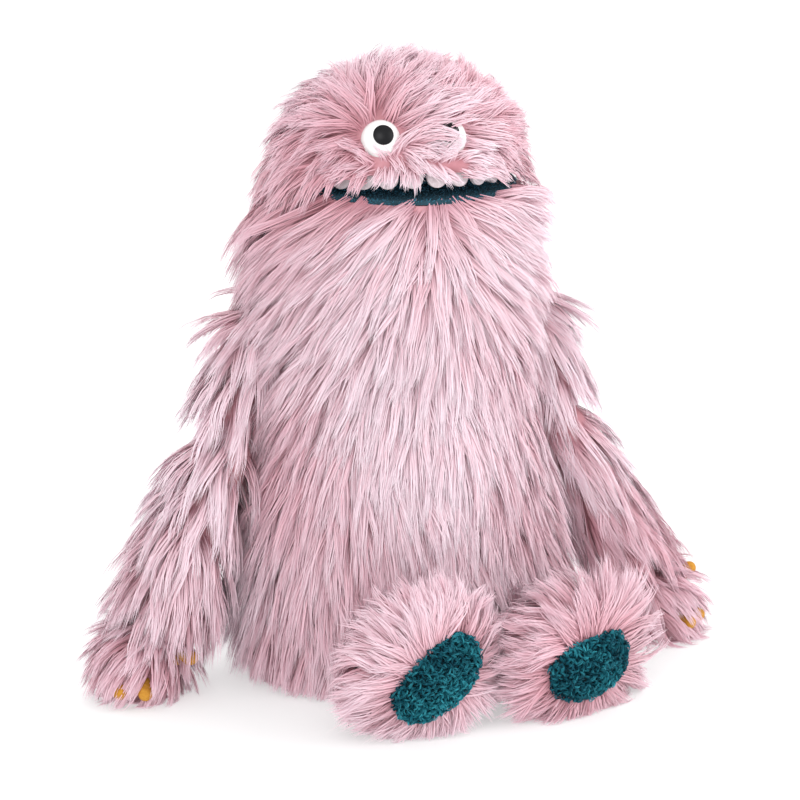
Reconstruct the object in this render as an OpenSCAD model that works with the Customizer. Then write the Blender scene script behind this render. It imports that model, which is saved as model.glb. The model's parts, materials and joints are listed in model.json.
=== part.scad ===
// Sitting long-haired monster hand puppet with a moving mouth.
// Frame: +Z up, the puppet faces -Y, its own left is +X. Origin: centre of the flat seat, on the ground.
// Every soft piece is drawn as a closed solid at the middle of its pile. Units: millimetres.

/* [View] */
// sub-part to draw

/* [Torso] */
// half width of the body at the seat
seat_half_width = 97;          // [80:120]
// half width of the body at the belly
belly_half_width = 103;        // [85:130]
// half width of the body under the chin
neck_half_width = 81;          // [65:95]
// height of the sewn body, where the folding neck zone starts
torso_height = 275;            // [220:320]
// depth of the body as a share of its width
torso_depth = 0.87;            // [0.7:1]
// thickness of the fur fabric
skin_t = 4;                    // [2:8]
// thickness of the seat panel
seat_t = 3;                    // [2:8]

/* [Hand opening] */
// half width of the lining sleeve
sleeve_half_width = 50;        // [42:60]
// front of the lining sleeve
sleeve_front = -17;            // [-30:0]
// top of the lining sleeve
sleeve_top = 278;              // [240:282]
// half width of the opening in the back
entry_half_width = 44;         // [38:48]
// lower edge of the opening in the back
entry_low = 58;                // [52:90]
// upper edge of the opening in the back
entry_high = 158;              // [130:190]
// thickness of the lining cloth
cloth_t = 1.5;                 // [1:3]

/* [Mouth] */
// half width of the head and chin at the mouth
mouth_half_width = 81;         // [70:95]
// height of the mouth hinge
mouth_height = 349;            // [300:380]
// how far the mouth hinge lies behind the middle
hinge_back = 28;               // [10:40]
// how far the lower jaw hangs open at rest, in degrees
jaw_drop = 4.5;                // [3:12]
// how far the upper jaw is lifted at rest, in degrees
head_lift = 4.5;               // [3:12]
// height of the chin fur below the mouth
chin_height = 31;              // [20:40]
// thickness of a mouth board
board_t = 2;                   // [1:4]
// thickness of the mouth plush
plush_t = 3;                   // [2:5]
// length of the middle teeth
tooth_length = 9.5;            // [8:14]
// width of a tooth
tooth_width = 14;              // [8:16]

/* [Head] */
// height of the dome above the mouth
dome_height = 70;              // [50:100]
// radius of an eye dome
eye_r = 13.2;                  // [10:20]
// how far an eye dome stands out
eye_bulge = 10;                // [6:15]
// angle of each eye from the middle of the face
eye_angle = 19;                // [15:40]
// height of the eyes above the mouth
eye_height = 24;               // [18:45]
// how far the face is turned to the puppet's right
face_turn = 11;                // [0:12]
// radius of a pupil
pupil_r = 6.8;                 // [3:8]
// how far the left pupil looks to the puppet's left, in degrees
pupil_l_turn = -16;            // [-25:25]
// how far the right pupil looks to the puppet's left, in degrees
pupil_r_turn = 17;             // [-25:25]
// how far both pupils look up, in degrees
pupil_lift = 8;                // [-20:20]

/* [Arms] */
// shoulder pivot, sideways
shoulder_x = 93;               // [85:110]
// shoulder pivot, height
shoulder_z = 266;              // [240:290]
// upper arm angle from the vertical
arm_splay = 17;                // [10:40]
// length of the upper arm between its end centres
upper_arm = 50;                // [30:80]
// radius of the arm at the shoulder
arm_r = 17;                    // [12:24]
// radius of the arm at the elbow
elbow_r = 19;                  // [12:24]
// radius of the forearm at the wrist
wrist_r = 23;                  // [16:30]
// radius of a hand, which is also its height above the ground
hand_r = 25;                   // [18:32]
// sideways place of a hand
hand_x = 192;                  // [150:230]
// place of a hand in front of the middle
hand_y = -14;                  // [-60:20]
// radius of a fingertip
tip_r = 4.8;                    // [4:9]
// how far the round end of a fingertip stands off the hand
tip_reach = 12;                // [6:18]

/* [Legs] */
// radius of a leg
leg_radius = 20.5;             // [15:26]
// distance from the hip to the middle of the foot
leg_length = 40;               // [35:80]
// half length of a foot
foot_long = 42;                // [36:60]
// half width of a foot
foot_wide = 36;                // [28:46]
// half thickness of a foot
foot_thick = 26;               // [20:34]
// turn of the left foot about its leg, in degrees
foot_turn_l = 6;               // [0:90]
// turn of the right foot about its leg, in degrees
foot_turn_r = 36;              // [0:90]
// how far the right foot is propped up
foot_prop_r = 5;               // [0:15]
// half length of a sole patch
sole_long = 33;                // [25:40]
// half width of a sole patch
sole_wide = 18;                // [12:26]

/* [Hidden] */
$fn = 40;
n = 40;
gap = 0.3;

pink = [0.86, 0.66, 0.70];
wadding = [0.93, 0.93, 0.91];
lining = [0.45, 0.33, 0.42];
teal = [0.02, 0.24, 0.30];
mustard = [0.78, 0.52, 0.08];
felt_white = [0.95, 0.94, 0.92];
board_grey = [0.75, 0.73, 0.70];

// ---- outlines ----
function spow(v, e) = (v < 0 ? -1 : 1) * pow(abs(v), e);
function torso_rx(z) = lookup(z, [
    [0, seat_half_width], [0.045 * torso_height, seat_half_width + 4],
    [0.11 * torso_height, belly_half_width], [0.2 * torso_height, belly_half_width - 0.5],
    [0.29 * torso_height, belly_half_width - 3], [0.4 * torso_height, belly_half_width - 7],
    [0.51 * torso_height, belly_half_width - 11.5], [0.62 * torso_height, belly_half_width - 16],
    [0.73 * torso_height, neck_half_width + 1.2], [0.84 * torso_height, neck_half_width + 0.2],
    [0.95 * torso_height, neck_half_width + 0.1], [torso_height, neck_half_width],
    [torso_height + 27, neck_half_width - 0.3], [mouth_height - chin_height, mouth_half_width - 0.6],
    [mouth_height, mouth_half_width]]);
function torso_ratio(z) = lookup(z, [[0, torso_depth], [0.75 * torso_height, torso_depth],
    [torso_height, 0.9], [mouth_height, 0.95]]);
function torso_ry(z) = torso_rx(z) * torso_ratio(z);

// closed ring, anticlockwise from above; e = 2 is an ellipse, more is squarer
function ring(rx, ry, cy, z, e = 2, m = n) = [for (i = [0 : m - 1]) let (a = 360 * i / m)
    [rx * spow(cos(a), 2 / e), cy + ry * spow(sin(a), 2 / e), z]];

// arc of a ring from angle a to angle b
function arc(rx, ry, cy, z, a, b, m, e = 2) = [for (i = [0 : m]) let (t = a + (b - a) * i / m)
    [rx * spow(cos(t), 2 / e), cy + ry * spow(sin(t), 2 / e), z]];
function back(v) = [for (i = [len(v) - 1 : -1 : 0]) v[i]];

// part of a wall: outer arc, then inner arc backwards
function band(z, wall, a, b, m = 24) = concat(
    arc(torso_rx(z), torso_ry(z), 0, z, a, b, m),
    back(arc(torso_rx(z) - wall, torso_ry(z) - wall, 0, z, a, b, m)));
function flat(v) = [for (r = v) each r];

// Skin of a solid through a list of rings. open = both ends meet, as in a tube wall.
// strip = each ring is an outer and an inner arc, so its ends are closed with a strip.
module loft(rings, open = false, strip = false) {
    m = len(rings[0]);
    k = len(rings);
    h = m / 2;
    last = (k - 1) * m;
    sides = [for (j = [0 : k - (open ? 1 : 2)], i = [0 : m - 1]) let (
        a = j * m + i, b = j * m + (i + 1) % m,
        d = ((j + 1) % k) * m + i, c = ((j + 1) % k) * m + (i + 1) % m)
        each [[a, d, c], [a, c, b]]];
    ends = open ? [] : strip
        ? [for (i = [0 : h - 2]) each [
            [i, i + 1, m - 2 - i, m - 1 - i],
            [last + i, last + m - 1 - i, last + m - 2 - i, last + i + 1]]]
        : [[for (i = [0 : m - 1]) i], [for (i = [m - 1 : -1 : 0]) last + i]];
    polyhedron(points = flat(rings), faces = concat(sides, ends), convexity = 8);
}

torso_levels = [0, 12, 30, 55, 80, 110, 140, 170, 200, 230, 261, torso_height];

// ---- body ----
module torso_front_skin() color(pink)
    loft([for (z = torso_levels) band(z, skin_t, 180.3, 359.7, 28)], strip = true);

module torso_back_skin() color(pink) difference() {
    loft([for (z = torso_levels) band(z, skin_t, 0.3, 179.7, 28)], strip = true);
    translate([-entry_half_width - 2.6, 40, entry_low - 2.6])
        cube([2 * entry_half_width + 5.2, 80, entry_high - entry_low + 5.2]);
}

module seat_panel() color(pink) linear_extrude(seat_t)
    polygon([for (i = [0 : n - 1]) let (a = 360 * i / n)
        [(seat_half_width - skin_t - gap) * cos(a),
         (seat_half_width * torso_depth - skin_t - gap) * sin(a)]]);

function sleeve_back(z) = lookup(z, [[44, 70], [entry_high, 70], [sleeve_top, 55]]);
function sleeve_ring(z, grow) = let (b = sleeve_back(z)) ring(sleeve_half_width + grow,
    (b - sleeve_front) / 2 + grow, (b + sleeve_front) / 2, z, 3);
function sleeve_arc(z, grow, a, b, m) = let (c = sleeve_back(z)) arc(sleeve_half_width + grow,
    (c - sleeve_front) / 2 + grow, (c + sleeve_front) / 2, z, a, b, m, 3);

module torso_stuffing() color(wadding)
    loft([for (z = [seat_t + 0.5, 12, 30, 55, 80, 110, 140, 170, 200, 230, 262]) concat(
        arc(torso_rx(z) - skin_t - gap, torso_ry(z) - skin_t - gap, 0, z, 165, 375, 24),
        back(sleeve_arc(z, gap, 165, 375, 24)))], strip = true);

module pellet_bag() color(lining)
    loft([for (v = [[seat_t + 0.5, -8], [9, -2], [38, -2], [43.5, -8]])
        ring(sleeve_half_width + v[1], 43 + v[1], 26.5, v[0], 3)]);

module hand_sleeve() color(lining) difference() {
    loft(concat(
        [for (z = [46 - cloth_t, 90, 130, entry_high, 200, 240, sleeve_top]) sleeve_ring(z, 0)],
        [for (z = [sleeve_top, 240, 200, entry_high, 130, 90, 46]) sleeve_ring(z, -cloth_t)]));
    translate([-entry_half_width - 2.6, 50, entry_low - 2.6])
        cube([2 * entry_half_width + 5.2, 40, entry_high - entry_low + 5.2]);
}

// its outer edge follows the back, a little proud of the skin
module sleeve_binding() color(lining) intersection() {
    difference() {
        translate([-entry_half_width - 2.3, 52, entry_low - 2.3])
            cube([2 * entry_half_width + 4.6, 42, entry_high - entry_low + 4.6]);
        translate([-entry_half_width, 50, entry_low])
            cube([2 * entry_half_width, 46, entry_high - entry_low]);
    }
    loft([for (z = [30, 55, 80, 110, 140, 170, 200])
        ring(torso_rx(z) + 2, torso_ry(z) + 2, 0, z)]);
}

// folding fur between the body and the chin; its top follows the dropped chin
module throat_skin() color(pink) loft([for (k = [0, 0.5, 1]) [for (p = band(
        torso_height + gap + k * (mouth_height - chin_height - 1 - torso_height), skin_t, 162, 378))
    [p[0], p[1], p[2] - k * (hinge_back - 4 - p[1]) * tan(jaw_drop)]]], strip = true);

// folding fur between the body and the back of the head
module nape_skin() color(pink) loft([for (k = [0, 0.5, 1]) [for (p = band(
        torso_height + gap + k * (mouth_height - 1 - torso_height), skin_t, 25, 155))
    [p[0], p[1], p[2] - k * (p[1] - hinge_back) * tan(head_lift)]]], strip = true);

// ---- mouth ----
module at_hinge(a) translate([0, hinge_back, mouth_height]) rotate([a, 0, 0])
    translate([0, -hinge_back, 0]) children();
module half_plate(rx, ry, z, t, cut) translate([0, 0, z]) linear_extrude(t)
    polygon([for (p = arc(rx, ry, 0, 0, 180 - cut, 360 + cut, 36)) [p[0], p[1]]]);
mouth_ry = mouth_half_width * 0.95;

// tube of cloth along Y, open at the back and closed in front
module pocket(hw, hh, z, back_y, front_y) rotate([90, 0, 0]) loft(concat(
    [for (v = [[front_y - cloth_t, -5 - cloth_t], [front_y - 6, -cloth_t], [-back_y, -cloth_t]])
        ring(hw + v[1], hh + v[1], z, v[0], 3)],
    [for (v = [[-back_y, 0], [front_y - 5, 0], [front_y, -5]])
        ring(hw + v[1], hh + v[1], z, v[0], 3)]));

module lower_jaw_board() color(board_grey) at_hinge(jaw_drop)
    half_plate(mouth_half_width - 4.8, mouth_ry - 4.8, -5.8, board_t, 16);
module lower_mouth_lining() color(teal) at_hinge(jaw_drop)
    half_plate(mouth_half_width - 0.5, mouth_ry - 0.5, -0.6 - plush_t, plush_t, 16);
module chin_skin() color(pink) at_hinge(jaw_drop) translate([0, 0, -mouth_height])
    loft([for (z = [mouth_height - chin_height, mouth_height - 17, mouth_height - 3.8])
        band(z, skin_t, 162, 378)], strip = true);
module thumb_pocket() color(lining) at_hinge(jaw_drop) pocket(17, 12, -18.3, 16, 52);

module upper_jaw_board() color(board_grey) at_hinge(-head_lift)
    half_plate(mouth_half_width - 10, mouth_ry - 10, 3.8, board_t, 17);
module upper_mouth_lining() color(teal) at_hinge(-head_lift)
    half_plate(mouth_half_width - 10, mouth_ry - 10, 0.6, plush_t, 17);
module finger_pocket() color(lining) at_hinge(-head_lift) pocket(38, 11.3, 17.6, 20, 56);
module hinge_tape() color(lining) translate([-60, hinge_back, mouth_height])
    rotate([0, 90, 0]) cylinder(r = 4.5, h = 120);

module tooth(i) color(felt_white) at_hinge(-head_lift) {
    a = (i - 4.5) * 12.8 - 6;
    len = tooth_length - (abs(i - 4.5) > 3 ? 0.5 : 0);
    translate([(mouth_half_width - 7) * sin(a), -(mouth_ry - 7) * cos(a), 0])
        rotate([90, 0, a]) translate([0, 0, -1.25]) linear_extrude(2.5) union() {
            translate([-tooth_width / 2, 0.6 - len + tooth_width / 2])
                square([tooth_width, 5.2 + len - tooth_width / 2]);
            translate([0, 0.6 - len + tooth_width / 2]) circle(r = tooth_width / 2);
        }
}
module tooth_1() tooth(1);
module tooth_2() tooth(2);
module tooth_3() tooth(3);
module tooth_4() tooth(4);
module tooth_5() tooth(5);
module tooth_6() tooth(6);
module tooth_7() tooth(7);
module tooth_8() tooth(8);

// ---- head ----
k = dome_height / 70;
head_levels = [[0.6, 81], [13, 79], [26, 75], [38, 69], [49, 60], [58, 48], [65, 33], [70, 13]];
function head_rx(z) = lookup(z / k, head_levels) * mouth_half_width / 81;
module head_skin() color(pink) at_hinge(-head_lift) loft(concat(
    [for (v = back(head_levels)) let (z = max(0.6, v[0] * k * (1 - skin_t / dome_height)))
        ring(head_rx(v[0] * k) - skin_t, head_rx(v[0] * k) * 0.95 - skin_t, 0, z)],
    [for (v = head_levels) ring(head_rx(v[0] * k), head_rx(v[0] * k) * 0.95, 0, v[0] * k)]));
module head_stuffing() color(wadding) at_hinge(-head_lift) {
    loft([for (v = [33, 38, 49, 58, 65, 70])
        let (rx = head_rx(v * k), z = v * k * (1 - skin_t / dome_height) - 0.5)
        ring(rx - skin_t - 0.6, rx * 0.95 - skin_t - 0.6, 0, z)]);
    // round the finger pocket, open behind it for the hand
    difference() {
        loft([for (z = [6.4, 14, 24, 32]) let (rx = head_rx(z + 1) - skin_t - 1)
            arc(rx, head_rx(z + 1) * 0.95 - skin_t - 1, 0, z, 163, 377, 36)]);
        translate([-39.2, -58, 5]) cube([78.4, 100, 25]);
    }
}

sphere_r = (eye_r * eye_r + eye_bulge * eye_bulge) / (2 * eye_bulge);
module eye_frame(s) {
    a = s * eye_angle - face_turn;
    rx = head_rx(eye_height);
    ry = rx * 0.95;
    r = rx * ry / sqrt(pow(ry * sin(a), 2) + pow(rx * cos(a), 2));
    at_hinge(-head_lift) rotate([0, 0, a]) translate([0, -r + 2, eye_height])
        rotate([78, 0, 0]) children();
}
module eye_white(s) color(felt_white) eye_frame(s) intersection() {
    translate([0, 0, eye_bulge - sphere_r]) sphere(sphere_r);
    cylinder(r = eye_r + 5, h = eye_bulge + 5);
}
module pupil(s) color([0.02, 0.02, 0.02]) eye_frame(s) translate([0, 0, eye_bulge - sphere_r])
    rotate([-pupil_lift, s > 0 ? pupil_l_turn : pupil_r_turn, 0]) difference() {
        intersection() {
            sphere(sphere_r + 0.7);
            cylinder(r = pupil_r, h = sphere_r + 5);
        }
        sphere(sphere_r + 0.05);
    }
module eye_white_l() eye_white(1);
module eye_white_r() eye_white(-1);
module pupil_l() pupil(1);
module pupil_r() pupil(-1);

// ---- arms: s = 1 is the puppet's left, s = -1 its right ----
tab_r = 6;
gusset_x = torso_rx(shoulder_z) - 2.2;
function unit(v) = v / norm(v);
function pivot(s) = [s * shoulder_x, 4, shoulder_z];
function arm_dir(s) = [s * sin(arm_splay), 0, -cos(arm_splay)];
function arm_top(s) = pivot(s) + (tab_r + 0.6 + arm_r) * arm_dir(s);
function arm_end(s) = arm_top(s) + upper_arm * arm_dir(s);
function elbow(s) = arm_end(s) + (2 * elbow_r + 0.6) * arm_dir(s);
function hand_at(s) = [s * hand_x, hand_y, hand_r];
function fore_dir(s) = unit(hand_at(s) - elbow(s));
function fore_len(s) = norm(hand_at(s) - elbow(s)) - wrist_r - hand_r - 0.3;
module aim(d) rotate([0, acos(d[2]), atan2(d[1], d[0])]) children();
module sausage(r0, r1, len) rotate_extrude() polygon(concat(
    [for (i = [0 : 6]) [i == 0 ? 0 : r0 * sin(15 * i), -r0 * cos(15 * i)]],
    [for (i = [6 : -1 : 0]) [i == 0 ? 0 : r1 * sin(15 * i), len + r1 * cos(15 * i)]]));
module shell_sausage(r0, r1, len) difference() {
    sausage(r0, r1, len);
    sausage(r0 - 2.5, r1 - 2.5, len);
}
module shoulder_gusset(s) color(pink) translate([s * gusset_x, 4, shoulder_z])
    rotate([0, s * 90, 0]) cylinder(r = 9, h = shoulder_x - tab_r - 0.4 - gusset_x);
module shoulder_tab(s) color(pink) translate(pivot(s)) sphere(tab_r);
module upper_arm_skin(s) color(pink) translate(arm_top(s)) aim(arm_dir(s))
    shell_sausage(arm_r, elbow_r, upper_arm);
module upper_arm_stuffing(s) color(wadding) translate(arm_top(s)) aim(arm_dir(s))
    sausage(arm_r - 2.7, elbow_r - 2.7, upper_arm);
module forearm_skin(s) color(pink) translate(elbow(s)) aim(fore_dir(s))
    shell_sausage(elbow_r, wrist_r, fore_len(s));
module forearm_stuffing(s) color(wadding) translate(elbow(s)) aim(fore_dir(s))
    sausage(elbow_r - 2.7, wrist_r - 2.7, fore_len(s));
module hand(s) color(pink) translate(hand_at(s)) sphere(hand_r);
module tip(s, d) color(mustard) translate(hand_at(s)) aim(unit(d)) {
    translate([0, 0, hand_r - 1.5]) cylinder(r = tip_r, h = tip_reach + 1.5);
    translate([0, 0, hand_r + tip_reach]) sphere(tip_r);
}
module shoulder_gusset_l() shoulder_gusset(1);
module shoulder_gusset_r() shoulder_gusset(-1);
module shoulder_tab_l() shoulder_tab(1);
module shoulder_tab_r() shoulder_tab(-1);
module upper_arm_skin_l() upper_arm_skin(1);
module upper_arm_skin_r() upper_arm_skin(-1);
module upper_arm_stuffing_l() upper_arm_stuffing(1);
module upper_arm_stuffing_r() upper_arm_stuffing(-1);
module forearm_skin_l() forearm_skin(1);
module forearm_skin_r() forearm_skin(-1);
module forearm_stuffing_l() forearm_stuffing(1);
module forearm_stuffing_r() forearm_stuffing(-1);
module hand_l() hand(1);
module hand_r_part() hand(-1);
module thumb_tip_l() tip(1, [0.68, -0.2, 0.58]);
module thumb_tip_r() tip(-1, [0.72, -0.66, 0.14]);
module inner_tip_l() tip(1, [0.45, -0.85, -0.28]);
module inner_tip_r() tip(-1, [-0.2, -0.91, -0.36]);
module outer_tip_l() tip(1, [0.85, -0.45, -0.28]);
module outer_tip_r() tip(-1, [-0.62, -0.7, -0.36]);

// ---- legs ----
function foot_turn(s) = s > 0 ? foot_turn_l : foot_turn_r;
function foot_z(s) = sqrt(pow(foot_long * sin(foot_turn(s)), 2)
    + pow(foot_wide * cos(foot_turn(s)), 2)) + (s > 0 ? 0.05 : 0.05 + foot_prop_r);
function hip(s) = s > 0 ? [55.5, -101.5, foot_z(s)] : [-42.5, -106, foot_z(s)];
function leg_yaw(s) = s > 0 ? 20 : 7;
module leg_frame(s) translate(hip(s)) rotate([90, 0, leg_yaw(s)]) children();
module foot_frame(s) leg_frame(s) translate([0, 0, leg_length]) rotate([0, 0, foot_turn(s)])
    children();
module egg(less) loft([for (i = [0 : 14]) let (a = -84 + 12 * i) ring((foot_long - less) * cos(a),
    (foot_wide - less) * cos(a), 0, (foot_thick - less) * sin(a), 2, 32)]);
function sole_ring(f, up) = [for (p = ring(sole_long * f, sole_wide * f, 0, 0, 2.6, 32))
    [p[0], p[1], up + foot_thick * sqrt(1 - pow(p[0] / foot_long, 2) - pow(p[1] / foot_wide, 2))]];
module leg(s) color(pink) leg_frame(s) rotate_extrude() polygon(concat(
    [for (i = [0 : 8]) [i == 0 ? 0 : leg_radius * sin(11.25 * i), -leg_radius * cos(11.25 * i)]],
    [[leg_radius, leg_length - foot_thick - 0.6], [0, leg_length - foot_thick - 0.6]]));
module foot_skin(s) color(pink) foot_frame(s) difference() {
    egg(0);
    egg(3);
}
module foot_filling(s) color(wadding) foot_frame(s) egg(3.3);
module sole_patch(s) color(teal) foot_frame(s) loft(concat(
    [for (f = [0.15, 0.45, 0.75, 1]) sole_ring(f, 0.3)],
    [for (f = [1, 0.92, 0.75, 0.45, 0.15]) sole_ring(f, f == 1 ? 2.5 : 4.3)]));
module leg_l() leg(1);
module leg_r() leg(-1);
module foot_skin_l() foot_skin(1);
module foot_skin_r() foot_skin(-1);
module foot_filling_l() foot_filling(1);
module foot_filling_r() foot_filling(-1);
module sole_patch_l() sole_patch(1);
module sole_patch_r() sole_patch(-1);

torso_front_skin();
torso_back_skin();
seat_panel();
torso_stuffing();
pellet_bag();
hand_sleeve();
sleeve_binding();
throat_skin();
nape_skin();
shoulder_gusset_l();
shoulder_gusset_r();
lower_jaw_board();
lower_mouth_lining();
chin_skin();
thumb_pocket();
head_skin();
head_stuffing();
upper_jaw_board();
upper_mouth_lining();
finger_pocket();
hinge_tape();
tooth_1();
tooth_2();
tooth_3();
tooth_4();
tooth_5();
tooth_6();
tooth_7();
tooth_8();
eye_white_l();
eye_white_r();
pupil_l();
pupil_r();
shoulder_tab_l();
shoulder_tab_r();
upper_arm_skin_l();
upper_arm_skin_r();
upper_arm_stuffing_l();
upper_arm_stuffing_r();
forearm_skin_l();
forearm_skin_r();
forearm_stuffing_l();
forearm_stuffing_r();
hand_l();
hand_r_part();  // hand_r
thumb_tip_l();
thumb_tip_r();
inner_tip_l();
inner_tip_r();
outer_tip_l();
outer_tip_r();
leg_l();
leg_r();
foot_skin_l();
foot_skin_r();
foot_filling_l();
foot_filling_r();
sole_patch_l();
sole_patch_r();
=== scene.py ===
"""Looks of the sitting long-haired monster hand puppet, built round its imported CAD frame."""

import json
import math

import bmesh
import bpy
import numpy as np
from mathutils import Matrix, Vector


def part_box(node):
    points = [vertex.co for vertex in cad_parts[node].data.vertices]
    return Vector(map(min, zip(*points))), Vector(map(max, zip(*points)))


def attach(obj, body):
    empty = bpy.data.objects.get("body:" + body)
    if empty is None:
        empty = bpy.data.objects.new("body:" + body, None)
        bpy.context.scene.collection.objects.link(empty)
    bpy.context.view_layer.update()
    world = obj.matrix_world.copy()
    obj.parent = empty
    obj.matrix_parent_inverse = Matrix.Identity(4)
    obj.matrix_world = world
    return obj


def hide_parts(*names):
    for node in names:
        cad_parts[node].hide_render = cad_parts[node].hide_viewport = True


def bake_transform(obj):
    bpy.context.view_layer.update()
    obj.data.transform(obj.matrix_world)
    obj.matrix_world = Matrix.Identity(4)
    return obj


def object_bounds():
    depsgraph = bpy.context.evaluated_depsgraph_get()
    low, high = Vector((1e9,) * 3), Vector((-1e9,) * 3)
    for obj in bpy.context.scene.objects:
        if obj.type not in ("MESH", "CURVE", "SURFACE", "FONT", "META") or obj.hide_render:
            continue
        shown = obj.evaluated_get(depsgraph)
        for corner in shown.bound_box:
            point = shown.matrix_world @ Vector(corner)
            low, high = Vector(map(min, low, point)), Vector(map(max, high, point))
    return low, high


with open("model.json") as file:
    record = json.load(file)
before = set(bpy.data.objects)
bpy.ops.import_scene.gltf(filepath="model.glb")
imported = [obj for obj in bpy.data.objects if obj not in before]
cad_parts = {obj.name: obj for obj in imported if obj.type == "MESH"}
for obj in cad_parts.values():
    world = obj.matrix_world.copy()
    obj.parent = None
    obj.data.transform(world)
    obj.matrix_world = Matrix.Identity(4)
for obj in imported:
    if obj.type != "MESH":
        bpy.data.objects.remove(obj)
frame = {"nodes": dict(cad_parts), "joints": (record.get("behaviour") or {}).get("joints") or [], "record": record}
start_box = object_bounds()
DETAIL = 1.0

# ---------- camera, light and floor ----------
CAM_AZIMUTH = math.radians(-20)
CAM_DISTANCE = 1.6
CAM_HEIGHT = 0.56
AIM_HEIGHT = 0.225
LENS = 105.0

cam_data = bpy.data.cameras.new("camera")
cam = bpy.data.objects.new("camera", cam_data)
bpy.context.scene.collection.objects.link(cam)
cam.location = (CAM_DISTANCE * math.sin(CAM_AZIMUTH), -CAM_DISTANCE * math.cos(CAM_AZIMUTH), CAM_HEIGHT)
aim = Vector((0, 0, AIM_HEIGHT)) - Vector(cam.location)
cam.rotation_mode = "QUATERNION"
cam.rotation_quaternion = aim.to_track_quat("-Z", "Y")
cam_data.sensor_width = 36
cam_data.lens = LENS
cam_data.shift_y = -0.064
cam_data.clip_start, cam_data.clip_end = 0.05, 30
bpy.context.scene.camera = cam

bpy.context.scene.view_settings.view_transform = "Standard"
world = bpy.data.worlds.new("studio")
bpy.context.scene.world = world
world.use_nodes = True
world.node_tree.nodes["Background"].inputs["Color"].default_value = (1, 1, 1, 1)
world.node_tree.nodes["Background"].inputs["Strength"].default_value = 1.06


def area_light(name, place, target, size, power):
    data = bpy.data.lights.new(name, "AREA")
    data.shape, data.size, data.energy = "SQUARE", size, power
    lamp = bpy.data.objects.new(name, data)
    bpy.context.scene.collection.objects.link(lamp)
    lamp.location = place
    lamp.rotation_mode = "QUATERNION"
    lamp.rotation_quaternion = (Vector(target) - Vector(place)).to_track_quat("-Z", "Y")


area_light("key", (-1.2, -2.1, 1.7), (0, 0, 0.2), 1.4, 22)
area_light("fill", (1.9, -1.4, 1.2), (0, 0, 0.2), 1.8, 22)
area_light("rim", (0.6, 1.9, 1.9), (0, 0, 0.3), 1.4, 14)


def link(data, name):
    o = bpy.data.objects.new(name, data)
    bpy.context.scene.collection.objects.link(o)
    return o


# ---------- materials ----------
def material(name, color, rough=0.6, **plain):
    """A Principled BSDF; plain sets its other sockets by name."""
    m = bpy.data.materials.new(name)
    m.use_nodes = True
    p = m.node_tree.nodes["Principled BSDF"]
    p.inputs["Base Color"].default_value = (*color, 1)
    p.inputs["Roughness"].default_value = rough
    for key, value in plain.items():
        p.inputs[key.replace("_", " ")].default_value = value
    return m


def ramp(nodes, stops):
    r = nodes.new("ShaderNodeValToRGB")
    r.color_ramp.elements[0].position, r.color_ramp.elements[0].color = stops[0][0], (*stops[0][1], 1)
    r.color_ramp.elements[1].position, r.color_ramp.elements[1].color = stops[-1][0], (*stops[-1][1], 1)
    for place, color in stops[1:-1]:
        r.color_ramp.elements.new(place).color = (*color, 1)
    return r


def hair_material(name, dark_stops, pale_stops, rough=0.55, sheen=0.25, shine=0.35, painted_glow=(0, 0, 0)):
    """Colour runs from root to tip with u, and from the darker to the paler hairs with v."""
    m = material(name, pale_stops[1][1], rough, Sheen_Weight=sheen, Sheen_Roughness=0.4,
                 Specular_IOR_Level=shine, Emission_Color=(*painted_glow, 1),
                 Emission_Strength=1.0 if any(painted_glow) else 0.0)
    t = m.node_tree
    uv = t.nodes.new("ShaderNodeUVMap")
    uv.uv_map = "OFBake"
    split = t.nodes.new("ShaderNodeSeparateXYZ")
    mix = t.nodes.new("ShaderNodeMix")
    mix.data_type = "RGBA"
    dark, pale = ramp(t.nodes, dark_stops), ramp(t.nodes, pale_stops)
    t.links.new(uv.outputs["UV"], split.inputs[0])
    t.links.new(split.outputs["X"], dark.inputs["Fac"])
    t.links.new(split.outputs["X"], pale.inputs["Fac"])
    t.links.new(split.outputs["Y"], mix.inputs["Factor"])
    t.links.new(dark.outputs["Color"], mix.inputs["A"])
    t.links.new(pale.outputs["Color"], mix.inputs["B"])
    t.links.new(mix.outputs["Result"], t.nodes["Principled BSDF"].inputs["Base Color"])
    return m


def noisy_material(name, low, high, scale, rough=0.85, bump=0.0, **plain):
    m = material(name, high, rough, **plain)
    t = m.node_tree
    place = t.nodes.new("ShaderNodeTexCoord")
    noise = t.nodes.new("ShaderNodeTexNoise")
    noise.inputs["Scale"].default_value = scale
    noise.inputs["Detail"].default_value = 4
    r = ramp(t.nodes, [(0.3, low), (0.7, high)])
    t.links.new(place.outputs["Object"], noise.inputs["Vector"])
    t.links.new(noise.outputs["Fac"], r.inputs["Fac"])
    t.links.new(r.outputs["Color"], t.nodes["Principled BSDF"].inputs["Base Color"])
    if bump:
        b = t.nodes.new("ShaderNodeBump")
        b.inputs["Strength"].default_value = bump
        b.inputs["Distance"].default_value = 0.0006
        t.links.new(noise.outputs["Fac"], b.inputs["Height"])
        t.links.new(b.outputs["Normal"], t.nodes["Principled BSDF"].inputs["Normal"])
    return m


# Along each strand (u) this pink runs from dark rose roots, which are painted shade between the locks, to very
# pale tips, which are painted back-light; across the hairs (v) it runs from darker to paler hairs.
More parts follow.
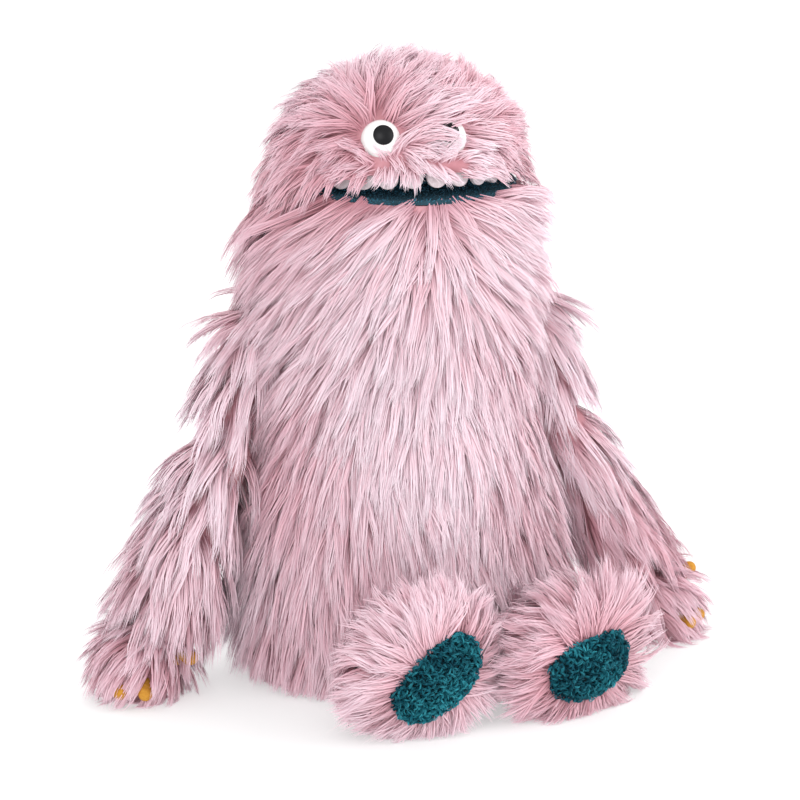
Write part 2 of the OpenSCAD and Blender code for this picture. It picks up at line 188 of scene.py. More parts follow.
FUR = hair_material(
    "pink_hair",
    [(0.0, (0.50, 0.18, 0.22)), (0.35, (0.70, 0.36, 0.42)), (0.7, (0.76, 0.46, 0.53)), (1.0, (0.81, 0.58, 0.66))],
    [(0.0, (0.58, 0.28, 0.34)), (0.35, (0.83, 0.58, 0.65)), (0.7, (0.88, 0.71, 0.78)), (1.0, (0.92, 0.83, 0.89))],
    0.6, 0.3, 0.25,
)
# The teal pile has a faint teal emission, a painted glow that lifts the shade deep inside the mouth.
PLUSH = hair_material(
    "teal_pile",
    [(0.0, (0.008, 0.05, 0.075)), (0.5, (0.018, 0.11, 0.17)), (1.0, (0.035, 0.19, 0.28))],
    [(0.0, (0.012, 0.06, 0.09)), (0.5, (0.03, 0.17, 0.25)), (1.0, (0.08, 0.30, 0.40))],
    0.7, 0.05, 0.1, (0.012, 0.045, 0.072),
)
# Along u the boucle runs from painted shade low in the curls to a painted highlight on their tops.
CURL = hair_material(
    "teal_curl",
    [(0.0, (0.001, 0.016, 0.028)), (0.5, (0.003, 0.05, 0.08)), (1.0, (0.006, 0.085, 0.12))],
    [(0.0, (0.002, 0.04, 0.06)), (0.5, (0.005, 0.13, 0.18)), (1.0, (0.05, 0.40, 0.48))],
    0.6, 0.03, 0.12,
)
FELT_FUZZ = hair_material(
    "mustard_fuzz",
    [(0.0, (0.45, 0.19, 0.015)), (0.5, (0.56, 0.26, 0.025)), (1.0, (0.64, 0.33, 0.05))],
    [(0.0, (0.52, 0.24, 0.02)), (0.5, (0.66, 0.34, 0.05)), (1.0, (0.74, 0.44, 0.10))],
    0.8, 0.1, 0.2,
)
# The backing is a darker rose than the hair, as painted shade under the roots.
BACKING_PAINTED_SHADE = noisy_material("fur_backing_painted_shade", (0.48, 0.20, 0.23), (0.60, 0.30, 0.34), 90)
WADDING = noisy_material("wadding", (0.72, 0.72, 0.70), (0.86, 0.86, 0.84), 60, 0.95, 0.6)
LINING = noisy_material("lining_cloth", (0.10, 0.055, 0.085), (0.16, 0.095, 0.135), 900, 0.9, 0.4)
PLUSH_BASE = noisy_material("teal_backing", (0.004, 0.03, 0.045), (0.01, 0.06, 0.09), 200)
CURL_BASE = noisy_material("curl_backing", (0.001, 0.018, 0.026), (0.003, 0.04, 0.055), 200)
BOARD = noisy_material("mouth_board", (0.42, 0.40, 0.36), (0.52, 0.50, 0.46), 300)
WHITE_FELT = noisy_material("white_felt", (0.62, 0.53, 0.56), (0.74, 0.66, 0.69), 500, 0.9, 0.5)
MUSTARD = noisy_material("mustard_felt", (0.50, 0.22, 0.02), (0.62, 0.30, 0.035), 500, 0.9, 0.5)
EYE_WHITE = noisy_material("eye_white", (0.86, 0.86, 0.85), (0.92, 0.92, 0.91), 200, 0.2)
EYE_BLACK = noisy_material("eye_black", (0.003, 0.003, 0.004), (0.006, 0.006, 0.008), 200, 0.35,
                           Specular_IOR_Level=0.2)

LOOKS = {"pink_fur": BACKING_PAINTED_SHADE, "wadding": WADDING, "lining_cloth": LINING, "teal_plush": PLUSH_BASE,
         "teal_curl": CURL_BASE, "mouth_board": BOARD, "white_felt": WHITE_FELT,
         "mustard_felt": MUSTARD, "eye_white": EYE_WHITE, "eye_black": EYE_BLACK}
for part in frame["record"]["subparts"]:
    node = frame["nodes"][part["node"]]
    node.data.materials.clear()
    node.data.materials.append(LOOKS[part["material_slot"]])


def cloth_copy(node, name, mat, depth=0.0007, scale=110, cuts=1):
    """A softly uneven copy of a plain CAD soft solid, which stands for it. It only sinks inwards."""
    bm = bmesh.new()
    bm.from_mesh(frame["nodes"][node].data)
    bmesh.ops.remove_doubles(bm, verts=bm.verts, dist=1e-6)
    if cuts:
        bmesh.ops.subdivide_edges(bm, edges=bm.edges, cuts=cuts, use_grid_fill=True)
    bm.normal_update()
    place = np.array([v.co for v in bm.verts])
    sink = lumps(place, scale, len(name)) * depth
    for v, d in zip(bm.verts, sink):
        v.co -= v.normal * float(d)
    mesh = bpy.data.meshes.new(name)
    bm.to_mesh(mesh)
    bm.free()
    mesh.polygons.foreach_set("use_smooth", np.ones(len(mesh.polygons), bool))
    mesh.materials.append(mat)
    o = link(mesh, name)
    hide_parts(node)
    return o


# ---------- hair made as tapered ribbons of mesh ----------
DOWN = np.array([0, 0, -1.0])
# how far hair may stand out of the box of the CAD parts, and how softly it is held there
STAND_SHARE, STAND_FLAT, SOFT = 0.03, 0.0085, 0.008
BOX = np.array([list(v) for v in start_box])
ROOM = (BOX[1] - BOX[0]) * STAND_SHARE + STAND_FLAT
LIMITS = BOX + np.array([-ROOM, ROOM])


def hold_in(path):
    """Hair that would leave the allowed box is bent back softly."""
    for axis in range(3):
        over = path[..., axis] - (LIMITS[1, axis] - SOFT)
        path[..., axis] -= np.where(over > 0, over - SOFT * np.tanh(over / SOFT), 0)
        if axis < 2:
            under = (LIMITS[0, axis] + SOFT) - path[..., axis]
            path[..., axis] += np.where(under > 0, under - SOFT * np.tanh(under / SOFT), 0)
    return path


# how far the hair is lit like the soft surface under it, and not strand by strand
SOFT_LIGHT = 0.68


def unit(v):
    return v / np.maximum(np.linalg.norm(v, axis=-1, keepdims=True), 1e-9)


def triangles(name):
    """Corner points (t, 3, 3) of a CAD node, in metres."""
    mesh = frame["nodes"][name].data
    mesh.calc_loop_triangles()
    co = np.empty(len(mesh.vertices) * 3, np.float32)
    mesh.vertices.foreach_get("co", co)
    tri = np.empty(len(mesh.loop_triangles) * 3, np.int32)
    mesh.loop_triangles.foreach_get("vertices", tri)
    return co.reshape(-1, 3)[tri.reshape(-1, 3)].astype(float)


def scatter(names, spacing, rng, keep=None):
    """Even random points and outward normals on CAD nodes, about spacing apart."""
    tri = np.concatenate([triangles(n) for n in names])
    cross = np.cross(tri[:, 1] - tri[:, 0], tri[:, 2] - tri[:, 0])
    area = np.linalg.norm(cross, axis=1) / 2
    count = int(area.sum() / spacing**2 * 7) + 10
    pick = rng.choice(len(tri), count, p=area / area.sum())
    a, b = rng.random((2, count))
    flip = a + b > 1
    a[flip], b[flip] = 1 - a[flip], 1 - b[flip]
    t = tri[pick]
    p = t[:, 0] + a[:, None] * (t[:, 1] - t[:, 0]) + b[:, None] * (t[:, 2] - t[:, 0])
    n = unit(cross[pick])
    if keep is not None:
        good = keep(p, n)
        p, n = p[good], n[good]
    if not len(p):
        return p, n
    cell = np.floor((p - p.min(0)) / (spacing * 0.93)).astype(np.int64)
    key = cell[:, 0] * 1000003 + cell[:, 1] * 1009 + cell[:, 2]
    first = np.unique(key, return_index=True)[1]
    first.sort()
    return p[first], n[first]


def lumps(p, scale, seed):
    """Smooth random field from 0 to 1 over points, for patches of paler or darker hair."""
    g = np.random.default_rng(seed)
    total = np.zeros(len(p))
    for _ in range(7):
        w = unit(g.normal(size=3)) * scale * g.uniform(0.6, 1.5)
        total += np.sin(p @ w + g.uniform(0, 6.28))
    return np.clip(0.5 + total / 7, 0, 1)


def swirl(p, scale, seed, dims=3):
    """Smooth random vectors over points, so that neighbouring locks lean together."""
    return np.stack([lumps(p, scale, seed + k) * 2 - 1 for k in range(dims)], 1)


def hair(name, p, n, flow, length, rng, mat, lift=0.5, sag=0.5, per_lock=28, lock_r=0.005, clump=0.65,
         width=0.00076, curl=0.0011, steps=4, shade=None, out_end=0.1, wander=0.08, drift=0.3, wave=0.0013,
         short=0.5, stray=0.04):
    """Locks of hair rooted at p. flow is the combing direction along the skin, lift how steeply
    the locks start, out_end how far their tips still stand off, sag how much they turn down,
    drift how far neighbouring locks lean together, and clump how far a lock closes to a point."""
    m = len(p)
    length = np.broadcast_to(np.asarray(length, float), (m,)) * rng.uniform(0.85, 1.12, m)
    lift = np.broadcast_to(np.asarray(lift, float), (m,)) * rng.uniform(0.75, 1.3, m)
    out_end = np.broadcast_to(np.asarray(out_end, float), (m,))
    sag = np.broadcast_to(np.asarray(sag, float), (m,))
    flow = unit(unit(flow) + drift * swirl(p, 55, 11))
    flow = unit(flow - (flow * n).sum(1)[:, None] * n)
    side = np.cross(n, flow)
    flow = unit(flow + side * rng.normal(0, wander, m)[:, None])
    line = np.zeros((m, steps + 1, 3))
    bend, phase = rng.normal(0, 0.16, m), rng.uniform(0, 6.28, m)
    for k in range(steps):
        u = (k + 0.5) / steps
        d = flow + n * (lift * (1 - u) ** 1.4 + out_end)[:, None] + DOWN * (sag * u)[:, None]
        d = d + side * (bend * math.sin(u * 3.1) + wave / 0.008 * np.sin(phase + 4.5 * u))[:, None]
        line[:, k + 1] = line[:, k] + unit(d) * (length / steps)[:, None]
    who = np.repeat(np.arange(m), per_lock)
    s = len(who)
    r = lock_r * np.sqrt(rng.random(s))
    angle = rng.uniform(0, 2 * math.pi, s)
    e1, e2 = flow[who], side[who]
    off = e1 * (r * np.cos(angle))[:, None] + e2 * (r * np.sin(angle))[:, None]
    u = np.linspace(0, 1, steps + 1)
    own = 1.06 - short * rng.random(s) ** 1.6
    loose = rng.random(s) < stray
    tight = np.where(loose, 0.1, clump * rng.uniform(0.75, 1.15, s))
    close = 1 - tight[:, None] * (u[None, :] ** 0.8)
    reach = line[who] * own[:, None, None]
    path = p[who][:, None, :] - n[who][:, None, :] * 0.001 + reach + off[:, None, :] * close[:, :, None]
    stiff = np.where(loose, 3.0, 1.0)[:, None, None]
    path = path + rng.normal(0, curl, (s, 1, 3)) * stiff * (u[None, :, None] ** 1.5)
    ripple = np.sin(u[None, :] * rng.uniform(3, 7, (s, 1)) + rng.uniform(0, 6.28, (s, 1)))[:, :, None]
    path = path + (ripple - ripple[:, :1]) * rng.normal(0, curl * 0.4, (s, 1, 3)) * u[None, :, None]
    path = hold_in(path)
    low = 0.0006 + 0.0014 * rng.random((s, 1))
    path[:, :, 2] = np.maximum(path[:, :, 2], low)
    tangent = unit(np.gradient(path, axis=1))
    roll = np.where(rng.random(s) < 0.8, rng.normal(0, 0.45, s), rng.uniform(-1.5, 1.5, s))
    across = unit(np.cross(tangent, n[who][:, None, :]))
    other = np.cross(across, tangent)
    w = across * np.cos(roll)[:, None, None] + other * np.sin(roll)[:, None, None]
    profile = np.interp(u, [0, 0.3, 0.6, 0.85, 1], [0.9, 1, 0.85, 0.5, 0.1])
    own_width = width * rng.uniform(0.7, 1.25, s) * np.where(loose, 0.6, 1)
    half = w * (profile[None, :, None] * own_width[:, None, None] / 2)
    left, right = path[:, :-1] - half[:, :-1], path[:, :-1] + half[:, :-1]
    verts = np.concatenate([np.stack([left, right], 2).reshape(s, -1, 3), path[:, -1:]], 1)
    face = unit(np.cross(w, tangent) * (1 - SOFT_LIGHT) + n[who][:, None, :] * SOFT_LIGHT)
    normals = np.concatenate([np.repeat(face[:, :-1], 2, 1), face[:, -1:]], 1)
    tone = rng.random(m) if shade is None else shade
    tone = np.clip(tone[who] + rng.normal(0, 0.09, s), 0.02, 0.98)
    per = 2 * steps + 1
    along = np.clip(np.concatenate([np.repeat(u[:-1], 2), [1.0]]), 0.02, 0.98)
    uv = np.stack([np.broadcast_to(along, (s, per)), np.repeat(tone[:, None], per, 1)], 2)
    quads = np.array([[2 * k, 2 * k + 1, 2 * k + 3, 2 * k + 2] for k in range(steps - 1)])
    return ribbon_mesh(name, verts, uv, quads, np.array([2 * steps - 2, 2 * steps - 1, 2 * steps]), mat,
                       normals)


def ribbon_mesh(name, verts, uv, quads, tip, mat, normals=None):
    """One mesh of many equal strips: the same quads, and a tip triangle if there is one, for each."""
    s, per = verts.shape[:2]
    base = (np.arange(s) * per)[:, None]
    corner = (base[:, :, None] + quads[None]).reshape(-1)
    starts = np.arange(s * len(quads)) * 4
    if tip is not None:
        starts = np.concatenate([starts, len(corner) + np.arange(s) * 3])
        corner = np.concatenate([corner, (base + tip[None]).reshape(-1)])
    corner = corner.astype(np.int32)
    mesh = bpy.data.meshes.new(name)
    mesh.vertices.add(s * per)
    mesh.vertices.foreach_set("co", verts.astype(np.float32).ravel())
    mesh.loops.add(len(corner))
    mesh.loops.foreach_set("vertex_index", corner)
    mesh.polygons.add(len(starts))
    mesh.polygons.foreach_set("loop_start", starts.astype(np.int32))
    mesh.update(calc_edges=True)
    shade_map = uv.reshape(-1, 2)[corner].astype(np.float32)
    mesh.uv_layers.new(name="OFBake").data.foreach_set("uv", shade_map.ravel())
    mesh.polygons.foreach_set("use_smooth", np.ones(len(starts), bool))
    if normals is not None:
        data = mesh.attributes.new("custom_normal", "FLOAT_VECTOR", "POINT").data
        data.foreach_set("vector", normals.astype(np.float32).ravel())
    mesh.materials.append(mat)
    return link(mesh, name)


def tone_at(p, rng, seed=5):
    """Mostly even shade, with paler and rosier patches."""
    return np.clip(1.1 * lumps(p, 45, seed) + 0.4 * rng.random(len(p)) - 0.3, 0, 1)


TORSO = ["torso_front_skin", "torso_back_skin"]


def radial(p):
    return unit(np.stack([p[:, 0], p[:, 1], np.zeros(len(p))], 1))


def outward(p, n):
    """True on the outer side of the body and head skins."""
    return (n * radial(p)).sum(1) > 0.35


# distance between the roots of two locks, and how far the strands of a lock stand from its root, in metres
SPACE = 0.0078 / math.sqrt(DETAIL)
LOCK_R = SPACE * 0.68
# lengths of hair, in metres
BODY_HAIR, LIP_HAIR, ARM_HAIR, LEG_HAIR, FOOT_HAIR, HAND_HAIR = 0.050, 0.034, 0.050, 0.034, 0.034, 0.034
HEAD_HAIR, MUZZLE_HAIR, BROW_HAIR, REAR_HAIR = 0.034, 0.0168, 0.017, 0.037
PILE, FUZZ = 0.0021, 0.0012


def ease(x, low, high):
    t = np.clip((x - low) / (high - low), 0, 1)
    return t * t * (3 - 2 * t)


# body: the hair falls from the throat and fans out to the sides
def body_flow(p, n):
    """A fan that spreads from the middle of the mouth, with its own weight pulling it down."""
    wide = p[:, 0] * 1.7 * ease(p[:, 2], -0.04, 0.25) * ease(-n[:, 1], -0.35, 0.3)
    d = np.stack([wide, np.zeros(len(p)), np.minimum(p[:, 2] - 0.368, -0.028)], 1)
    d = unit(d - (d * n).sum(1)[:, None] * n)
    d[:, 2] -= 0.3 * ease(0.25 - p[:, 2], 0, 0.16)
    return d


def in_sector(low, high, z0, z1):
    def keep(p, n):
        a = np.degrees(np.arctan2(p[:, 0], -p[:, 1])) % 360
        return outward(p, n) & (a >= low) & (a < high) & (p[:, 2] > z0) & (p[:, 2] < z1)
    return keep


def body_hair(name, p, n, rng):
    """Long hair that stands well out at the shoulders and lies closer lower down."""
    wide = np.abs(n[:, 0]) ** 1.3 * ease(p[:, 2], 0.16, 0.27) * np.where(n[:, 0] > 0, 0.15, 1.1)
    lip = ease(p[:, 2], 0.325, 0.343) * ease(-n[:, 1], 0.3, 0.7)
    size = BODY_HAIR + 0.010 * wide + 0.006 * lumps(p, 30, 3)
    flank = np.abs(n[:, 0]) ** 2 * ease(0.22 - p[:, 2], 0, 0.07) * ease(p[:, 2], 0.03, 0.09)
    size = np.where(p[:, 2] < 0.05, 0.032 + 0.018 * p[:, 2] / 0.05, size) + 0.012 * flank
    low = ease(0.09 - p[:, 2], 0, 0.06)
    # Below z 0.2 the hair is made paler, as painted light that lifts the shade on the lower body.
    return hair(name, p, n, body_flow(p, n), size, rng, FUR, lift=(0.55 + 0.75 * wide) * (1 - 0.6 * lip),
                sag=0.5 - 0.3 * wide, out_end=0.1 + 0.4 * wide + 0.12 * low + 0.3 * flank, lock_r=LOCK_R,
                shade=tone_at(p, rng) + 0.2 * ease(0.2 - p[:, 2], 0, 0.1))


def grow_body():
    """The torso's hair in eight pieces, so that none is too heavy."""
    parts = [("front_r", 270, 360), ("front_l", 0, 90), ("back_l", 90, 180), ("back_r", 180, 270)]
    for i, (tag, low, high) in enumerate(parts):
        for j, (z0, z1) in enumerate([(0.006, 0.145), (0.145, 0.2755)]):
            rng = np.random.default_rng(100 + 10 * i + j)
            space = SPACE if tag.startswith("front") else SPACE * 1.15
            p, n = scatter(TORSO, space, rng, in_sector(low, high, z0, z1))
            o = body_hair(f"body_hair_{tag}_{j + 1}", p, n, rng)
            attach(o, "torso")


def grow_throat():
    """The fur of the two folding zones, and a dense row of hair along the lower lip."""
    rng = np.random.default_rng(200)
    p, n = scatter(["throat_skin", "chin_skin"], SPACE * 0.93, rng, outward)
    o = body_hair("throat_hair", p, n, rng)
    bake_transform(o)
    rng = np.random.default_rng(202)
    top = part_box("chin_skin")[1][2]
    p, n = scatter(["chin_skin"], SPACE * 0.5, rng, lambda p, n: outward(p, n) & (p[:, 2] > top - 0.006))
    o = hair("lip_hair", p, n, body_flow(p, n), LIP_HAIR, rng, FUR, lift=0.25, sag=0.35, out_end=0.05,
             lock_r=LOCK_R * 0.8, shade=tone_at(p, rng))
    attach(o, "lower_jaw")
    rng = np.random.default_rng(201)
    p, n = scatter(["nape_skin"], SPACE * 1.08, rng, outward)
    o = body_hair("nape_hair", p, n, rng)
    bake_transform(o)


def middle(node):
    low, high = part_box(node)
    return np.array((low + high) / 2)


EYES = [middle("eye_white_r"), middle("eye_white_l")]
FACE = (EYES[0] + EYES[1]) / 2


# the brushed parting of the face: place and direction across the face (x, z), and reach
COMBS = [((-0.026, 0.383), (0.50, 0.85), 0.009), ((-0.012, 0.394), (1.0, 0.1), 0.013),
         ((0.002, 0.386), (0.95, -0.30), 0.010), ((0.013, 0.374), (0.45, -0.90), 0.010),
         ((-0.003, 0.367), (0.85, -0.50), 0.012), ((0.035, 0.364), (0.60, -0.80), 0.014),
         ((-0.052, 0.364), (-0.95, -0.35), 0.014), ((-0.026, 0.362), (-0.25, -0.95), 0.006)]


def head_flow(p, n):
    """Away from the eyes over the dome, with the swirl between them, then down at the back."""
    a, b = EYES[0] * 0.9 + EYES[1] * 0.1, EYES[0] * 0.1 + EYES[1] * 0.9
    t = np.clip(((p - a) @ (b - a)) / ((b - a) @ (b - a)), 0, 1)
    d = unit(p - (a + t[:, None] * (b - a) + np.array([0, 0.014, -0.003])))
    d[:, 2] -= np.clip((0.385 - p[:, 2]) / 0.03, 0, 1) * 0.3
    front = np.clip((-0.02 - p[:, 1]) / 0.02, 0, 1)
    for (x, z), (dx, dz), reach in COMBS:
        near = np.exp(-((p[:, 0] - x) ** 2 + (p[:, 2] - z) ** 2) / reach**2) * front
        d = d + np.array([dx, 0, dz]) * (near * 2.5)[:, None]
    back = np.clip((p[:, 1] + 0.01) / 0.06, 0, 1)
    d = unit(d) * (1 - 0.7 * back)[:, None] + DOWN * (back * 0.9)[:, None]
    for e in EYES:
        gap = p - e
        near = np.exp(-((np.linalg.norm(gap, axis=1) / 0.017) ** 2)) * (1 - 0.8 * ease(-gap[:, 2], 0.0, 0.009))
        if e is EYES[1]:
            near = near * ease(gap[:, 0], -0.012, 0.002)
        d = d + unit(gap) * (near * 0.8)[:, None]
    return d


def clear_of_eyes(p):
    return np.min([np.linalg.norm(p - e, axis=1) for e in EYES], axis=0) > 0.0128


def grow_head():
    """The face, with short hair over the teeth and round the eyes, and the back of the head."""
    def front(p, n):
        return ((n * unit(p - np.array([0, 0, 0.34]))).sum(1) > 0.3) & (p[:, 1] < 0.02) & clear_of_eyes(p)

    def rear(p, n):
        return ((n * unit(p - np.array([0, 0, 0.34]))).sum(1) > 0.3) & (p[:, 1] >= 0.02)

    rng = np.random.default_rng(300)
    p, n = scatter(["head_skin"], SPACE * 0.92, rng, front)
    side = np.abs(np.degrees(np.arctan2(p[:, 0] + 0.005, -p[:, 1])))
    muzzle = np.clip((0.383 - p[:, 2]) / 0.012, 0, 1) * np.clip((62 - side) / 12, 0, 1)
    cheek = ease(0.378 - p[:, 2], 0, 0.02) * np.clip(-n[:, 0], 0, 1)
    size = (HEAD_HAIR + 0.012 * cheek) * (1 - muzzle) + MUZZLE_HAIR * muzzle
    under = np.zeros(len(p))
    for e in EYES:
        near = np.exp(-((np.linalg.norm(p - e, axis=1) / 0.018) ** 2))
        under = np.maximum(under, near * ease(e[2] - p[:, 2], 0.0, 0.009))
    size = size * (1 - under) + BROW_HAIR * under
    flow = unit(head_flow(p, n)) * (1 - under)[:, None] - DOWN * (0.9 * under)[:, None]
    o = hair("face_hair", p, n, flow, size, rng, FUR, lift=0.72 - 0.3 * muzzle + 1.5 * under + 0.3 * cheek,
             sag=0.3 * (1 - under),
             lock_r=LOCK_R, clump=0.62, shade=tone_at(p, rng), wander=0.25)
    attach(o, "head")
    rng = np.random.default_rng(301)
    p, n = scatter(["head_skin"], SPACE * 1.12, rng, rear)
    o = hair("back_head_hair", p, n, head_flow(p, n), REAR_HAIR, rng, FUR, lift=0.62, sag=0.4, lock_r=LOCK_R,
             clump=0.62, shade=tone_at(p, rng), wander=0.25)
    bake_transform(o)


def joint(name):
    return next(j for j in frame["joints"] if j["name"] == name)


def grow_arms():
    """Hair that falls down each arm and covers the hand. Full is how far it stands off."""
    for i, s in enumerate("lr"):
        sign, full = (1, 0.5) if s == "l" else (-1, 0.9)
        shoulder = np.array(joint(f"shoulder_swing_{s}")["pos_m"])
        elbow = np.array(joint(f"elbow_{s}")["pos_m"])
        hand = middle(f"hand_{s}")
        upper, fore = unit(elbow - shoulder), unit(hand - elbow)
        rng = np.random.default_rng(400 + i)
        p, n = scatter([f"upper_arm_skin_{s}", f"shoulder_tab_{s}"], SPACE, rng,
                       lambda p, n: n @ upper > -0.75)
        o = hair(f"upper_arm_hair_{s}", p, n, np.tile(upper, (len(p), 1)), ARM_HAIR, rng, FUR, lift=full,
                 sag=0.25, out_end=0.20 * full, clump=0.4, lock_r=LOCK_R, shade=tone_at(p, rng))
        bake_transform(o)
        rng = np.random.default_rng(410 + i)
        p, n = scatter([f"forearm_skin_{s}"], SPACE, rng, lambda p, n: n @ fore > -0.35)
        o = hair(f"forearm_hair_{s}", p, n, np.tile(fore, (len(p), 1)), ARM_HAIR, rng, FUR, lift=full, sag=0.2,
                 out_end=0.20 * full, clump=0.4, lock_r=LOCK_R, shade=tone_at(p, rng))
        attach(o, f"forearm_{s}")
        tips = [middle(f"{t}_tip_{s}") for t in ("thumb", "inner", "outer")]

        def off_tips(p, n):
            return np.min([np.linalg.norm(p - t, axis=1) for t in tips], axis=0) > 0.009

        rng = np.random.default_rng(420 + i)
        p, n = scatter([f"hand_{s}"], SPACE * 0.95, rng, off_tips)
        spread = fore * 0.8 + np.array([0.3 * sign, -0.35, 0])
        size = HAND_HAIR if s == "r" else HAND_HAIR + 0.014 * ease(hand[2] + 0.006 - p[:, 2], 0, 0.012)
        o = hair(f"hand_hair_{s}", p, n, np.tile(spread, (len(p), 1)), size, rng, FUR, lift=0.75, sag=0.3,
                 lock_r=LOCK_R, shade=tone_at(p, rng) * 0.8)
        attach(o, f"forearm_{s}")


def grow_legs():
    """Fur on each leg, and a ruff on each foot that parts round its sole patch."""
    for i, s in enumerate("lr"):
        sole = middle(f"sole_patch_{s}")
        foot = middle(f"foot_filling_{s}")
        out = np.array(joint(f"foot_twist_{s}")["axis"])
        rng = np.random.default_rng(500 + i)
        p, n = scatter([f"leg_{s}"], SPACE, rng, lambda p, n: p[:, 2] > 0.004)
        flow = np.tile(out, (len(p), 1)) + DOWN * 0.3
        o = hair(f"leg_hair_{s}", p, n, flow, LEG_HAIR, rng, FUR, lift=0.9, sag=0.3, lock_r=LOCK_R,
                 shade=tone_at(p, rng))
        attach(o, f"shin_{s}")
        patch = triangles(f"sole_patch_{s}").reshape(-1, 3)
        across = np.linalg.svd(patch[::7] - patch[::7].mean(0), full_matrices=False)[2]
        half = np.abs((patch - patch.mean(0)) @ across.T).max(0)

        def bare(p, n, more=-0.0005):
            q = np.abs((p - patch.mean(0)) @ across.T) / (half + more)
            return (q[:, 0] ** 2.6 + q[:, 1] ** 2.6 > 1) | (n @ out < 0)

        rng = np.random.default_rng(510 + i)
        p, n = scatter([f"foot_skin_{s}"], SPACE * 0.95, rng,
                       lambda p, n: ((n * (p - foot)).sum(1) > 0) & bare(p, n))
        q, m = scatter([f"foot_skin_{s}"], SPACE * 0.55, rng,
                       lambda p, n: ((n * (p - foot)).sum(1) > 0) & bare(p, n) & ~bare(p, n, 0.006))
        p, n = np.concatenate([p, q]), np.concatenate([n, m])
        rim = unit(p - (patch.mean(0) + out * 0.004))
        near = 1 - ease(np.linalg.norm((p - patch.mean(0)) @ across[:2].T / half[:2], axis=1), 1.0, 1.6)
        near = near * (n @ out > 0)
        below = ease((foot[2] - p[:, 2]) / 0.036, 0.2, 1.0)
        beside = ease((p[:, 0] - foot[0]) / 0.040, 0.1, 0.9) * (s == "l")
        size = FOOT_HAIR * (1 - (0.6 if s == "l" else 0.45) * below) * (1 + 0.7 * beside)
        o = hair(f"foot_hair_{s}", p, n, rim - out * 0.1, size, rng, FUR, lift=1.0 - 0.25 * near, sag=0.1,
                 lock_r=LOCK_R, clump=0.6, shade=tone_at(p, rng) * 0.6, wander=0.25)
        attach(o, f"foot_{s}")


def grow_mouth():
    """The short pile of the plush that lines the mouth."""
    linings = (("lower", "lower_jaw", "lower_mouth_lining"), ("upper", "head", "upper_mouth_lining"))
    for tag, body, node in linings:
        rng = np.random.default_rng(600 + len(tag) + (tag == "upper"))
        facing = 1 if tag == "lower" else -1
        p, n = scatter([node], 0.0019 / math.sqrt(DETAIL), rng,
                       lambda p, n: (n[:, 2] * facing > 0.5) | (n[:, 1] < -0.1))
        flow = np.tile([0, -1.0, 0], (len(p), 1))
        o = hair(f"{tag}_mouth_pile", p, n, flow, PILE, rng, PLUSH, lift=2.2, sag=0, per_lock=3, lock_r=0.001,
                 clump=0.2, width=0.00055, curl=0.0003, steps=3, shade=tone_at(p, rng, 9))
        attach(o, body)


def grow_tips():
    """Felt fuzz on the fingertips."""
    for s in "lr":
        for t in ("thumb", "inner", "outer"):
            rng = np.random.default_rng(700 + ord(s) + len(t))
            p, n = scatter([f"{t}_tip_{s}"], 0.0009, rng)
            flow = np.tile([0.3, 0.2, -1.0], (len(p), 1))
            o = hair(f"{t}_tip_fuzz_{s}", p, n, flow, FUZZ, rng, FELT_FUZZ, lift=1.2, sag=0, per_lock=2,
                     lock_r=0.0006, clump=0.1, width=0.00025, curl=0.0003, steps=2)
            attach(o, f"forearm_{s}")


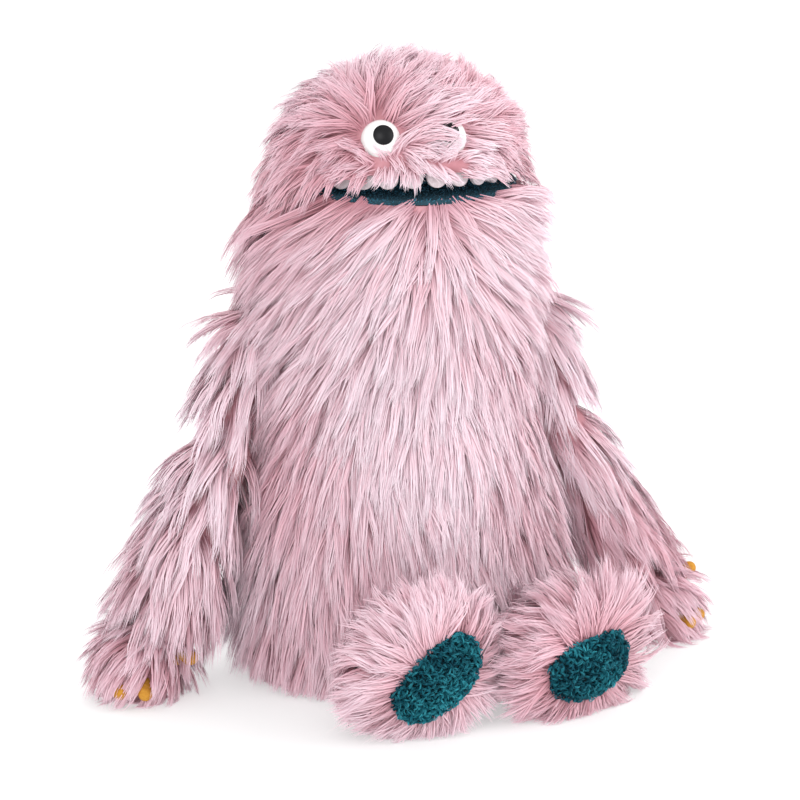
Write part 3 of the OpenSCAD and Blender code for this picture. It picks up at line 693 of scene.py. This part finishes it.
def curls(name, p, n, rng, mat, strands=6, rounds=8):
    """Small curls of boucle yarn, each a twist of fine strands, standing on the patch."""
    m = len(p)
    a = rng.uniform(0, 6.28, m)
    helper = unit(np.cross(n, [0.3, 0.5, 0.8]))
    e1 = helper * np.cos(a)[:, None] + np.cross(n, helper) * np.sin(a)[:, None]
    tilt = rng.uniform(-0.7, 0.7, m)[:, None]
    e2 = unit(n * np.cos(tilt) + np.cross(n, e1) * np.sin(tilt))
    e3 = np.cross(e1, e2)
    size, turn = rng.uniform(0.0016, 0.0030, m), rng.uniform(3.2, 5.6, m)
    begin = rng.uniform(0, 6.28, m)
    u = np.linspace(0, 1, rounds)
    t = begin[:, None] + turn[:, None] * u[None]
    lift = rng.uniform(0.0002, 0.0024, m)
    spread = u[None] * rng.uniform(-0.0034, 0.0034, (m, 1))
    line = (p + n * lift[:, None])[:, None] + e1[:, None] * (np.cos(t) * size[:, None])[..., None]
    line = line + e2[:, None] * (np.sin(t) * size[:, None] * 0.8)[..., None] + e3[:, None] * spread[..., None]
    who = np.repeat(np.arange(m), strands)
    s = len(who)
    path = line[who] + rng.normal(0, 0.00034, (s, 1, 3)) + rng.normal(0, 0.00016, (s, rounds, 3))
    path[..., 2] = np.maximum(path[..., 2], 0.0005)
    w = unit(np.cross(unit(np.gradient(path, axis=1)), rng.normal(size=(s, 1, 3))))
    half = w * (0.00030 * np.interp(u, [0, 0.2, 0.8, 1], [0.6, 1, 1, 0.3]))[None, :, None]
    verts = np.stack([path - half, path + half], 2).reshape(s, -1, 3)
    # u grows with how high a point stands, on its curl and within its loop: painted shade low down, painted
    # highlight on top.
    high = np.clip(0.1 + 0.5 * lift[who][:, None] / 0.0024 + 0.4 * np.sin(t[who]), 0.02, 0.98)
    tone = np.clip(lumps(p, 150, 21) * 0.7 + rng.random(m) * 0.5 - 0.1, 0.02, 0.98)
    uv = np.stack([np.repeat(high, 2, 1), np.repeat(tone[who][:, None], 2 * rounds, 1)], 2)
    quads = np.array([[2 * k, 2 * k + 1, 2 * k + 3, 2 * k + 2] for k in range(rounds - 1)])
    return ribbon_mesh(name, verts, uv, quads, None, mat)


def grow_soles():
    """Boucle curls on the sole patches."""
    for i, s in enumerate("lr"):
        rng = np.random.default_rng(800 + i)
        out = np.array(joint(f"foot_twist_{s}")["axis"])
        p, n = scatter([f"sole_patch_{s}"], 0.0019 / math.sqrt(DETAIL), rng, lambda p, n: n @ out > 0.1)
        o = curls(f"sole_curls_{s}", p, n, rng, CURL)
        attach(o, f"foot_{s}")


def back_cloth():
    """The knitted backing that the hair stands on; its darker rose is painted shade under the roots."""
    rides = {"torso_front_skin": "torso", "torso_back_skin": "torso", "chin_skin": "lower_jaw",
             "head_skin": "head"}
    for s in "lr":
        rides[f"upper_arm_skin_{s}"] = f"upper_arm_{s}"
        rides[f"forearm_skin_{s}"] = f"forearm_{s}"
        rides[f"hand_{s}"] = f"forearm_{s}"
        rides[f"leg_{s}"] = f"shin_{s}"
        rides[f"foot_skin_{s}"] = f"foot_{s}"
    for node, body in rides.items():
        cuts = 1 if body in ("torso", "head", "lower_jaw") else 0
        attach(cloth_copy(node, f"{node}_cloth", BACKING_PAINTED_SHADE, cuts=cuts), body)
    throat = cloth_copy("throat_skin", "throat_cloth", BACKING_PAINTED_SHADE)
    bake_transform(throat)
    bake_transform(cloth_copy("nape_skin", "nape_cloth", BACKING_PAINTED_SHADE))
    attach(cloth_copy("hand_sleeve", "sleeve_cloth", LINING, 0.0016, 70), "torso")
    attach(cloth_copy("sleeve_binding", "binding_cloth", LINING, 0.0005, 300), "torso")


for grow in (back_cloth, grow_body, grow_throat, grow_head, grow_arms, grow_legs, grow_mouth, grow_tips,
             grow_soles):
    grow()

# ---------- floor ----------
floor_mesh = bpy.data.meshes.new("floor")
floor_mesh.from_pydata([(-6, -6, 0), (6, -6, 0), (6, 8, 0), (-6, 8, 0)], [], [(0, 1, 2, 3)])
floor_mesh.materials.append(noisy_material("floor_white", (0.54, 0.54, 0.54), (0.56, 0.56, 0.56), 2, 0.9,
                                           Emission_Color=(1, 1, 1, 1), Emission_Strength=0.45))
floor = link(floor_mesh, "floor")
